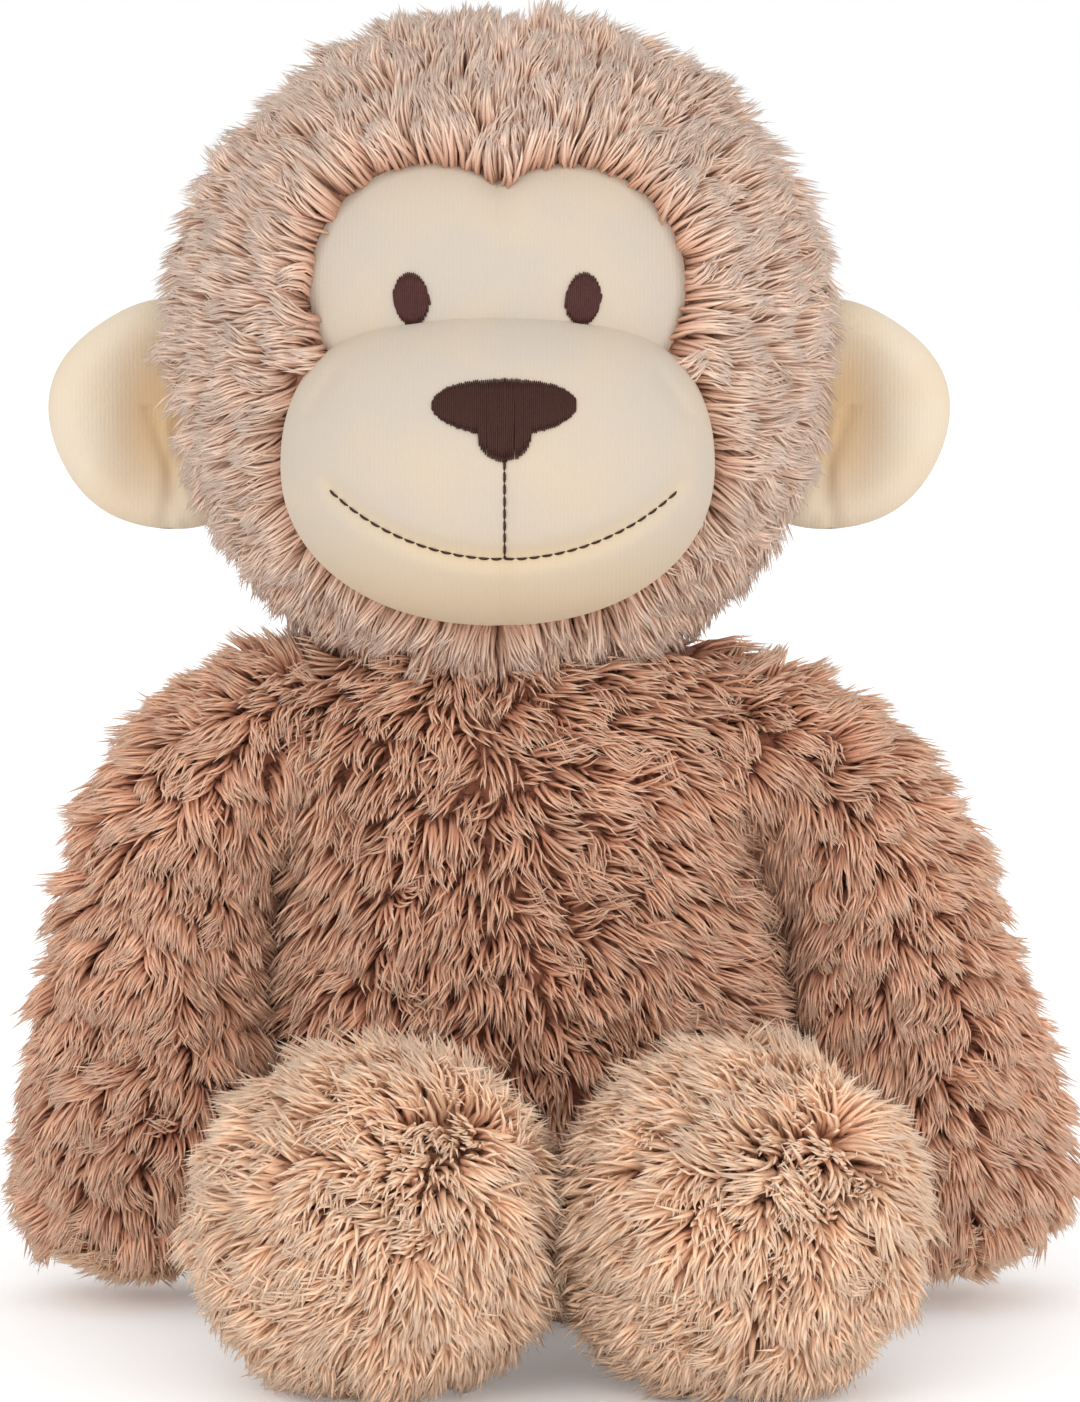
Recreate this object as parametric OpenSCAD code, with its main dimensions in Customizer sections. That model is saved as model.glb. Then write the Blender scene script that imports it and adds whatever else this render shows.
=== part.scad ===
// Stuffed monkey, sitting with its legs forward and its hands on the ground.
// The monkey faces -Y and +Z is up. "Left" and "right" are the monkey's own, so its left is +X.
// The origin is the middle of the seat's underside. Sizes over fur are taken to the middle of the pile.

/* [Head] */
// Half width of the head at its widest line
head_half_w = 70; // [68:0.5:71]
// Half depth of the head at its widest line
head_half_d = 60; // [58:0.5:61]
// Height of the head above its widest line
head_up = 66.5; // [64:0.5:70]
// Depth of the jowls below the widest line
head_down = 78; // [76:0.5:80]
// Height of the widest line above the ground
head_z = 215; // [214:0.5:217]

/* [Face] */
// Half width of the muzzle
muzzle_half_w = 45; // [42:0.5:47]
// Half height of the muzzle
muzzle_half_h = 33; // [31:0.5:34]
// How far the muzzle stands out from its own middle
muzzle_half_d = 36; // [33:0.5:38]
// Radius of the two round lobes of the eye patch
lobe_r = 24; // [22:0.5:25]

/* [Ears] */
// Radius of an ear
ear_r = 25.5; // [24:0.5:26]
// Thickness of an ear
ear_thick = 13; // [11:0.5:13]

/* [Torso] */
// Half width of the torso at the belly
belly_half_w = 58; // [57:0.5:58.5]
// Half depth of the torso at the belly
belly_half_d = 46; // [45:0.5:47]
// Lean of the torso towards its right, in degrees
lean = 5.2; // [5:0.1:5.4]

/* [Limbs] */
// Radius of the upper arm
arm_r = 21; // [20:0.5:21]
// Radius of the hand end of an arm
hand_r = 25; // [24:0.5:25.5]
// Radius of a leg at the hip
hip_r = 21.5; // [20.5:0.5:21.5]
// Radius of a leg at the ankle
ankle_r = 17.5; // [16.5:0.5:17.5]
// Radius of the round foot
foot_r = 35.5; // [35:0.5:35.5]
// Radius of the tail
tail_r = 10; // [9:0.5:10]

/* [Cloth] */
// Thickness of the fur fabric, knitted back and half of its pile
pile = 7; // [6:0.5:8]
// Thickness of the short velour with its seam allowance
velour = 2; // [1.6:0.2:2.4]
// Height of embroidery above the velour
thread_h = 1; // [0.8:0.1:1.2]

/* [Hidden] */
$fn = 72;

LEFT = 1;
RIGHT = -1;
big = 400;
// Gap between two bodies that turn on one another
gap = 0.4;
// Fabric that lines a socket or a notch
lining = 3;

// Head and face
head_x = -14;
head_y = -5;
muzzle_y = -50;
muzzle_z = head_z - 27;
lobe_x = 14;
lobe_z = head_z + 11;
eye_x = 18;
eye_z = head_z + 8.5;
eye_half_w = 3.6;
eye_half_h = 5.2;
nose_z = head_z - 13;
nose_half_w = 15;
nose_half_h = 5.6;
nose_tip_r = 5.5;
smile_r = 55;
smile_z = head_z - 44.5;
smile_half_w = 36.5;
stitch_w = 1.4;

// Ears
ear_x = 73.5;
ear_z = head_z - 19;
ear_hinge_x = 66;
ear_slot_r = 12;

// Torso, as an ellipsoid that rises further than it drops
belly_z = 52;
torso_up = 115;
torso_down = 90;
shoulder_line_z = 129;
seat_t = 3;
side_seam_y = 2;
closing_z = 30;
closing_len = 52;
closing_w = 3;
pouch_r = 16;
pouch_h = 22;
pouch_y = 9;
pouch_z = 12;

// Neck ball that joins the torso to the head
neck = [-13, 0, 141];
neck_r = 30;
neck_wall = 2;

// Arms, which leave the shoulder outwards and bend down to the ground
shoulder_left = [43.5, 0, 119.5];
shoulder_right = [-64.5, 0, 123.5];
splay_left = 8;
splay_right = 0;
arm_forward = 5;
elbow = [20, 0, -22];
hand = [30, 0, -95.4];
shoulder_seat_r = 33;
shoulder_seat_out = 10;
palm_cap = 12;

// Legs and feet
hip_x = 27.5;
legs_x = -1;
hip_y = -33;
hip_z = 23;
hip_raise = 20;
hip_drop = 60;
cut_reach = 90;
slim = 1;
foot_x = 37.5;
foot_y = -105;
ankle_y = -78;
ankle_z = 27;
ankle_gap = 4;

// Tail
tail_root = [0, 43, 20];
tail_z = tail_r + 0.5;
tail_bends = [[0, 66, tail_z], [-10, 91, tail_z], [-34, 102, tail_z], [-59, 94, tail_z]];
tail_gap = 2.5;

FUR = "#b98b74";
HEAD_FUR = "#c9a996";
FOOT_FUR = "#dcb99a";
CREAM = "#f2e2c4";
BROWN = "#4a2b26";
FIBRE = "#f4f2ee";

// ---- shared shapes ----

// Everything on one side of a plane through the origin
module below() translate([-big, -big, -2 * big]) cube(2 * big);
module above() translate([-big, -big, 0]) cube(2 * big);
module ahead() translate([-big, -2 * big, -big]) cube(2 * big);
module behind() translate([-big, 0, -big]) cube(2 * big);
module on_side(side) translate([side > 0 ? 0 : -2 * big, -big, -big]) cube(2 * big);

// Balls whose poles and seams keep clear of the planes that cut them
module ball(r) rotate([0, 0, 50]) sphere(r = r);
module turned_ball(r = 1) rotate([35, 25, 15]) sphere(r = r);

// Unit ball stretched so that its upper and lower halves have their own heights
module egg(half_w, half_d, up, down) {
    intersection() {
        scale([half_w, half_d, up]) children();
        above();
    }
    intersection() {
        scale([half_w, half_d, down]) children();
        below();
    }
}

// Chain of balls joined by round bars that are a little slimmer than the balls
module limb(points, radii) {
    for (i = [0 : len(points) - 1]) translate(points[i]) ball(radii[i]);
    for (i = [1 : len(points) - 1]) {
        run = points[i] - points[i - 1];
        translate(points[i - 1])
            rotate([0, acos(run[2] / norm(run)), atan2(run[1], run[0])]) rotate([0, 0, 50])
            cylinder(r1 = radii[i - 1] - slim, r2 = radii[i] - slim, h = norm(run));
    }
}

// ---- head ----

module head_solid(inset) {
    translate([head_x, head_y, head_z])
        egg(head_half_w - inset, head_half_d - inset, head_up - inset, head_down - inset) turned_ball();
}

module muzzle_solid(inset) {
    translate([head_x, muzzle_y, muzzle_z])
        scale([muzzle_half_w - inset, muzzle_half_d - inset, muzzle_half_h - inset]) ball(1);
}

// Outline drawn on X and Z, pushed forward from the middle of the head
module face_prism() translate([head_x, head_y, 0]) rotate([90, 0, 0]) linear_extrude(height = big) children();

module patch_outline() {
    translate([-lobe_x, lobe_z]) circle(r = lobe_r);
    translate([lobe_x, lobe_z]) circle(r = lobe_r);
}

module eye_outline(side) translate([side * eye_x, eye_z]) scale([eye_half_w, eye_half_h]) circle(r = 1);

module nose_outline() {
    translate([0, nose_z]) scale([nose_half_w, nose_half_h]) circle(r = 1);
    translate([0, nose_z - nose_half_h]) circle(r = nose_tip_r);
}

module smile_outline() {
    intersection() {
        translate([0, smile_z + smile_r]) difference() {
            circle(r = smile_r + stitch_w / 2);
            circle(r = smile_r - stitch_w / 2);
        }
        translate([-smile_half_w, smile_z - stitch_w]) square([2 * smile_half_w, smile_r / 2]);
    }
}

module lip_outline() {
    lip_low = smile_z + stitch_w / 2;
    lip_top = nose_z - nose_half_h - nose_tip_r;
    translate([-stitch_w / 2, lip_low]) square([stitch_w, lip_top - lip_low]);
}

// Room for an ear's root to fold in
module ear_slot(side, grow) {
    translate([head_x + side * ear_hinge_x, 0, ear_z - ear_r - 1 - grow])
        cylinder(r = ear_slot_r + grow, h = 2 * (ear_r + 1 + grow));
}

module head_cuts(grow) {
    translate(neck) sphere(r = neck_r + gap + grow);
    ear_slot(LEFT, grow);
    ear_slot(RIGHT, grow);
}

module head_core() {
    difference() {
        head_solid(pile);
        head_cuts(lining);
    }
}

module head_panel(side, front) {
    color(HEAD_FUR) difference() {
        intersection() {
            head_solid(0);
            translate([head_x, 0, 0]) on_side(side);
            translate([0, head_y, 0]) if (front) ahead(); else behind();
        }
        head_core();
        head_cuts(0);
        if (front) muzzle_solid(0);
        if (front) face_prism() patch_outline();
    }
}

module head_stuffing() color(FIBRE) head_core();

module eye_patch() {
    color(CREAM) difference() {
        intersection() {
            head_solid(pile - velour);
            face_prism() patch_outline();
        }
        head_solid(pile);
        muzzle_solid(0);
    }
}

module muzzle_panel(side) {
    color(CREAM) difference() {
        intersection() {
            muzzle_solid(0);
            translate([head_x, 0, 0]) on_side(side);
        }
        muzzle_solid(velour);
        head_solid(pile);
    }
}

module muzzle_stuffing() {
    color(FIBRE) difference() {
        muzzle_solid(velour);
        head_solid(pile);
    }
}

module eye(side) {
    color(BROWN) difference() {
        intersection() {
            head_solid(pile - velour - thread_h);
            face_prism() eye_outline(side);
        }
        head_solid(pile - velour);
    }
}

// Thread worked on the front of the muzzle
module muzzle_embroidery() {
    color(BROWN) difference() {
        intersection() {
            muzzle_solid(-thread_h);
            face_prism() children();
        }
        muzzle_solid(0);
        translate([0, muzzle_y, 0]) behind();
    }
}

module nose() muzzle_embroidery() nose_outline();
module smile_stitch() muzzle_embroidery() smile_outline();
module lip_stitch() muzzle_embroidery() lip_outline();

// ---- ears ----

// Round pad with a rolled rim, cut off straight at its root
module ear_solid(side, inset) {
    rim = ear_thick / 2 - inset;
    flat_r = ear_r - ear_thick / 2;
    intersection() {
        translate([head_x + side * ear_x, 0, ear_z]) rotate([90, 0, side > 0 ? 0 : 180]) {
            cylinder(r = flat_r, h = 2 * rim, center = true);
            rotate_extrude() translate([flat_r, 0]) circle(r = rim);
        }
        translate([head_x + side * ear_hinge_x, 0, 0]) on_side(side);
    }
}

module ear_panel(side, front) {
    color(CREAM) difference() {
        intersection() {
            ear_solid(side, 0);
            if (front) ahead(); else behind();
        }
        ear_solid(side, velour);
    }
}

module ear_padding(side) color(FIBRE) ear_solid(side, velour);

// ---- neck ----

module neck_tube() {
    color(FUR) translate(neck) difference() {
        sphere(r = neck_r);
        sphere(r = neck_r - neck_wall);
    }
}

module neck_stuffing() color(FIBRE) translate(neck) sphere(r = neck_r - neck_wall);

// ---- torso ----

module torso_solid(inset) {
    intersection() {
        rotate([0, -lean, 0]) translate([0, 0, belly_z])
            egg(belly_half_w - inset, belly_half_d - inset, torso_up - inset, torso_down - inset) ball(1);
        above();
        translate([0, 0, shoulder_line_z - inset]) below();
    }
}

// Seat of an arm: one hollow that clears both the round shoulder and the inside of the arm's bend
module shoulder_cut(pos, side, grow) {
    translate(pos + [side * shoulder_seat_out, 0, 0]) ball(shoulder_seat_r + grow);
}

// Space that a leg passes through between hanging down and raised, open at the front and outwards
module hip_cut(side, grow) {
    r = hip_r + 2 * gap + grow;
    slot = hip_r + gap + grow;
    over = slot * [sin(hip_raise), cos(hip_raise)];
    under = slot * [sin(hip_drop), -cos(hip_drop)];
    raised = cut_reach * [-cos(hip_raise), sin(hip_raise)];
    hanging = cut_reach * [-cos(hip_drop), -sin(hip_drop)];
    translate([legs_x + side * (hip_x - r) - (side > 0 ? 0 : cut_reach), hip_y, hip_z])
        rotate([90, 0, 90]) linear_extrude(height = cut_reach) {
            rotate(50) circle(r = r);
            polygon([over, over + raised, under + hanging, under]);
        }
}

module torso_cuts(grow) {
    translate(neck) ball(neck_r + gap + grow);
    shoulder_cut(shoulder_left, LEFT, grow);
    shoulder_cut(shoulder_right, RIGHT, grow);
    hip_cut(LEFT, grow);
    hip_cut(RIGHT, grow);
    translate(tail_root) ball(tail_r + tail_gap + grow);
}

module torso_core() {
    difference() {
        torso_solid(pile);
        torso_cuts(lining);
        translate([0, 0, seat_t + velour]) below();
    }
}

// Strip of hand stitching that shuts the back seam
module closing_strip() {
    rotate([0, -lean, 0]) translate([-closing_w / 2, 0, closing_z]) cube([closing_w, big, closing_len]);
}

// One panel of fur: the children say which part of the torso it covers
module torso_panel() {
    color(FUR) difference() {
        intersection() {
            torso_solid(0);
            translate([0, 0, seat_t]) above();
            children();
        }
        torso_core();
        torso_cuts(0);
    }
}

module torso_front() torso_panel() translate([0, side_seam_y, 0]) ahead();

module torso_back(side) {
    difference() {
        torso_panel() intersection() {
            translate([0, side_seam_y, 0]) behind();
            rotate([0, -lean, 0]) on_side(side);
        }
        closing_strip();
    }
}

module closing_seam() {
    color(BROWN) intersection() {
        difference() {
            torso_solid(pile - 2);
            torso_solid(pile);
        }
        closing_strip();
        behind();
    }
}

module seat_panel() {
    color(FUR) difference() {
        intersection() {
            torso_solid(0);
            translate([0, 0, seat_t]) below();
        }
        torso_cuts(0);
    }
}

module pouch_solid() translate([0, pouch_y, pouch_z]) cylinder(r = pouch_r, h = pouch_h);

module bean_pouch() color("#d9d4c8") pouch_solid();

module torso_stuffing() {
    color(FIBRE) difference() {
        torso_core();
        pouch_solid();
    }
}

// ---- arms ----

// Arm of the left side about its own shoulder, hanging in the XZ plane
module arm_shape(inset) {
    limb([[0, 0, 0], elbow, hand], [arm_r - inset, arm_r - inset, hand_r - inset]);
}

module place_arm(side) {
    translate(side > 0 ? shoulder_left : shoulder_right)
        rotate([-arm_forward, side * -(side > 0 ? splay_left : splay_right), 0])
        mirror([side > 0 ? 0 : 1, 0, 0]) children();
}

// Height of the palm's edge below the shoulder
palm_edge = hand[2] - palm_cap;

module arm_panel(side, front) {
    color(FUR) place_arm(side) difference() {
        intersection() {
            arm_shape(0);
            if (front) ahead(); else behind();
            translate([0, 0, palm_edge]) above();
        }
        arm_shape(pile);
    }
}

module palm(side) {
    color(FOOT_FUR) place_arm(side) difference() {
        intersection() {
            arm_shape(0);
            translate([0, 0, palm_edge]) below();
        }
        arm_shape(pile);
    }
}

module arm_stuffing(side) color(FIBRE) place_arm(side) arm_shape(pile);

// ---- legs and feet ----

function hip_at(side) = [legs_x + side * hip_x, hip_y, hip_z];
function foot_at(side) = [legs_x + side * foot_x, foot_y, foot_r];
function ankle_at(side) =
    [legs_x + side * (hip_x + (foot_x - hip_x) * (ankle_y - hip_y) / (foot_y - hip_y)), ankle_y, ankle_z];

// Puts the children on the line from hip to ankle, which becomes their Z, with -X upwards
module along_leg(side) {
    run = ankle_at(side) - hip_at(side);
    translate(hip_at(side)) rotate([0, acos(run[2] / norm(run)), atan2(run[1], run[0])]) children();
}

module leg_shape(inset) {
    length = norm(ankle_at(LEFT) - hip_at(LEFT));
    limb([[0, 0, 0], [0, 0, length]], [hip_r - inset, ankle_r - inset]);
}

module leg_panel(side, top) {
    color(FUR) along_leg(side) difference() {
        intersection() {
            leg_shape(0);
            on_side(top ? -1 : 1);
        }
        leg_shape(pile);
    }
}

module leg_stuffing(side) color(FIBRE) along_leg(side) leg_shape(pile);

module foot_solid(side, inset, turn = [0, 0, 0]) {
    difference() {
        translate(foot_at(side)) rotate(turn) sphere(r = foot_r - inset);
        translate(ankle_at(side)) ball(ankle_r + ankle_gap + (inset > 0 ? lining : 0));
    }
}

// The sole faces forwards and the rest of the foot is the top
module foot_panel(side, sole) {
    color(FOOT_FUR) difference() {
        intersection() {
            foot_solid(side, 0);
            translate([0, foot_y, 0]) if (sole) ahead(); else behind();
        }
        foot_solid(side, pile);
    }
}

module foot_stuffing(side) {
    back = ankle_at(side) - foot_at(side);
    turn = [0, acos(back[2] / norm(back)), atan2(back[1], back[0])];
    color(FIBRE) foot_solid(side, pile, turn);
}

// ---- tail ----

module tail_solid(inset) {
    limb(concat([tail_root], tail_bends), [for (i = [0 : len(tail_bends)]) tail_r - inset]);
}

module tail_casing() {
    color(FUR) difference() {
        tail_solid(0);
        tail_solid(pile);
    }
}

module tail_stuffing() color(FIBRE) tail_solid(pile);

// ---- assembly ----

torso_front();
torso_back(LEFT);  // torso_back_left
torso_back(RIGHT);  // torso_back_right
seat_panel();
closing_seam();
torso_stuffing();
bean_pouch();
neck_tube();
neck_stuffing();
head_panel(LEFT, true);  // head_front_left
head_panel(RIGHT, true);  // head_front_right
head_panel(LEFT, false);  // head_back_left
head_panel(RIGHT, false);  // head_back_right
eye_patch();
muzzle_panel(LEFT);  // muzzle_left
muzzle_panel(RIGHT);  // muzzle_right
muzzle_stuffing();
head_stuffing();
eye(LEFT);  // eye_left
eye(RIGHT);  // eye_right
nose();
smile_stitch();
lip_stitch();
ear_panel(LEFT, true);  // ear_front_left
ear_panel(LEFT, false);  // ear_back_left
ear_padding(LEFT);  // ear_padding_left
ear_panel(RIGHT, true);  // ear_front_right
ear_panel(RIGHT, false);  // ear_back_right
ear_padding(RIGHT);  // ear_padding_right
arm_panel(LEFT, true);  // arm_front_left
arm_panel(LEFT, false);  // arm_back_left
palm(LEFT);  // palm_left
arm_stuffing(LEFT);  // arm_stuffing_left
arm_panel(RIGHT, true);  // arm_front_right
arm_panel(RIGHT, false);  // arm_back_right
palm(RIGHT);  // palm_right
arm_stuffing(RIGHT);  // arm_stuffing_right
leg_panel(LEFT, true);  // leg_top_left
leg_panel(LEFT, false);  // leg_bottom_left
leg_stuffing(LEFT);  // leg_stuffing_left
leg_panel(RIGHT, true);  // leg_top_right
leg_panel(RIGHT, false);  // leg_bottom_right
leg_stuffing(RIGHT);  // leg_stuffing_right
foot_panel(LEFT, false);  // foot_top_left
foot_panel(LEFT, true);  // foot_sole_left
foot_stuffing(LEFT);  // foot_stuffing_left
foot_panel(RIGHT, false);  // foot_top_right
foot_panel(RIGHT, true);  // foot_sole_right
foot_stuffing(RIGHT);  // foot_stuffing_right
tail_casing();
tail_stuffing();
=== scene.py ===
import bpy, math
import numpy as np
from mathutils import Euler, Matrix, Vector
from mathutils.bvhtree import BVHTree


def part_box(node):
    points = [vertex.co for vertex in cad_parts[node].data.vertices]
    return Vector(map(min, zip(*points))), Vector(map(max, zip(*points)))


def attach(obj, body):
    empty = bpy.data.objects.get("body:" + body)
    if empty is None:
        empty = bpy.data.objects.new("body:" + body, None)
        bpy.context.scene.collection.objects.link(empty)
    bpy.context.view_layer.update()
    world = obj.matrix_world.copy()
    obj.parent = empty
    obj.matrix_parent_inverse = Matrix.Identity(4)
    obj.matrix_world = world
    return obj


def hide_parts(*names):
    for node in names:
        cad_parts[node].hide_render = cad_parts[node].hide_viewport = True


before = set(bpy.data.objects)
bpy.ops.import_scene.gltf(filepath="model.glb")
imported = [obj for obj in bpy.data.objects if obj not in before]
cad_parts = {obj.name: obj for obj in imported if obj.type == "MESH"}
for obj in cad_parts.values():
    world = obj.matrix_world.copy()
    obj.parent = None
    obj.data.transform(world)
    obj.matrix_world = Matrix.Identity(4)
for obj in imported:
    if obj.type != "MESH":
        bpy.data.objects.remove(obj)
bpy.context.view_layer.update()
bpy.ops.object.select_all(action="DESELECT")

# ---- Floor, lights and camera ----
# The toy sits on a plain white sheet that runs out of view on all sides, and the sheet glows faintly: painted light
# that lifts the toy's shadow on it.
# Two large soft boxes in front and a bright white room light it with almost no shadow, and the camera looks at it
# nearly level from the front.


def linear(code, alpha=1.0):
    """sRGB hex to the linear colour that a shader takes"""
    v = [int(code[i : i + 2], 16) / 255 for i in (1, 3, 5)]
    return [c / 12.92 if c <= 0.04045 else ((c + 0.055) / 1.055) ** 2.4 for c in v] + [alpha]


def node(mat, kind, inputs=(), **settings):
    """Adds a node with its settings, and its inputs as values or links"""
    n = mat.node_tree.nodes.new(kind)
    for key, value in settings.items():
        setattr(n, key, value)
    for key, value in dict(inputs).items():
        if isinstance(value, bpy.types.NodeSocket):
            mat.node_tree.links.new(value, n.inputs[key])
        else:
            n.inputs[key].default_value = value
    return n


def new_material(name):
    mat = bpy.data.materials.new(name)
    mat.use_nodes = True
    return mat, mat.node_tree.nodes["Principled BSDF"]


# Matt white paper, with a faint mottle so that it isn't one flat tone
paper, shader = new_material("white_paper")
mottle = node(paper, "ShaderNodeTexNoise", {"Scale": 3.0, "Detail": 2.0})
tint = node(paper, "ShaderNodeMix", {"Factor": mottle.outputs["Fac"], "A": linear("#fbfbfb"), "B": linear("#ffffff")}, data_type="RGBA")
paper.node_tree.links.new(tint.outputs["Result"], shader.inputs["Base Color"])
shader.inputs["Roughness"].default_value = 0.95
shader.inputs["Specular IOR Level"].default_value = 0.1
# Painted light: the sheet glows faintly, which lifts the toy's shadow on it
shader.inputs["Emission Color"].default_value = linear("#ffffff")
shader.inputs["Emission Strength"].default_value = 0.15

bpy.ops.mesh.primitive_plane_add(size=8, location=(0, 1.5, 0))
floor = bpy.context.object
floor.name = "floor"
floor.data.materials.append(paper)

world = bpy.data.worlds.new("white_room")
world.use_nodes = True
world.node_tree.nodes["Background"].inputs["Color"].default_value = linear("#ffffff")
world.node_tree.nodes["Background"].inputs["Strength"].default_value = 1.0
bpy.context.scene.world = world
bpy.context.scene.view_settings.view_transform = "Standard"

aim = Vector((-0.005, -0.030, 0.1355))


def soft_box(name, place, size, power):
    bpy.ops.object.light_add(type="AREA", location=place)
    lamp = bpy.context.object
    lamp.name = name
    lamp.data.size = size
    lamp.data.energy = power
    lamp.rotation_euler = (aim - Vector(place)).to_track_quat("-Z", "Y").to_euler()


soft_box("key_light", (-0.45, -1.2, 0.75), 0.8, 3.2)
soft_box("fill_light", (0.6, -1.2, 0.12), 0.8, 5.0)

tilt = math.radians(6)
distance = 1.3
bpy.ops.object.camera_add(location=aim + distance * Vector((0, -math.cos(tilt), math.sin(tilt))))
camera = bpy.context.object
camera.rotation_euler = (math.pi / 2 - tilt, 0, 0)
camera.data.sensor_fit = "VERTICAL"
camera.data.angle = math.radians(13.35)
camera.data.clip_start = 0.05
bpy.context.scene.camera = camera

# ---- Head: fur panels over a stuffed ball ----
# Four panels of long-pile knitted polyester faux fur, sewn at a centre seam and stuffed tight with fibre.
# The pile radiates from the face and lies downwards behind. Its backing cloth shows as the dark root colour.

MM = 0.001
low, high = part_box("head_front_left"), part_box("head_front_right")
head_x = high[1][0]
head_y = low[1][1]
HEAD = np.array([head_x, head_y, 0.215])
HEAD_HALF = np.array([70, 60, 0]) * MM
HEAD_UP, HEAD_DOWN = 66.5 * MM, 78 * MM
BACKING_DEPTH = 4.5 * MM
MUZZLE = np.array([head_x, -0.050, 0.188])
MUZZLE_HALF = np.array([45, 36, 33]) * MM
LOBE_X, LOBE_Z, LOBE_R = 14 * MM, 226 * MM, 24 * MM


def unit(v):
    return v / np.maximum(np.linalg.norm(v, axis=-1, keepdims=True), 1e-12)


def points_of(obj):
    co = np.empty(len(obj.data.vertices) * 3)
    obj.data.vertices.foreach_get("co", co)
    return co.reshape(-1, 3)


def set_points(obj, co):
    obj.data.vertices.foreach_set("co", np.asarray(co, float).ravel())
    obj.data.update()


def round_form(name, segments, rings, shape):
    """A ball added as a primitive, whose unit points shape() puts in place"""
    bpy.ops.mesh.primitive_uv_sphere_add(segments=segments, ring_count=rings, radius=1)
    obj = bpy.context.object
    obj.name = name
    set_points(obj, shape(points_of(obj)))
    bpy.ops.object.shade_smooth()
    return obj


def egg(p, centre, half, up, down):
    """Unit points to an egg whose upper and lower halves have their own heights"""
    return np.column_stack([p[:, 0] * half[0], p[:, 1] * half[1], np.where(p[:, 2] > 0, up, down) * p[:, 2]]) + centre


def swirl(p, seed, size):
    """Smooth noise from -1 to 1 that changes over about that many metres"""
    rng = np.random.default_rng(seed)
    total = 0
    for k in range(5):
        wave = rng.normal(size=3)
        total = total + np.sin(p @ (wave / np.linalg.norm(wave)) * (2 * math.pi / size) * rng.uniform(0.6, 1.5) + rng.uniform(0, 6.3))
    return total / 5


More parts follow.
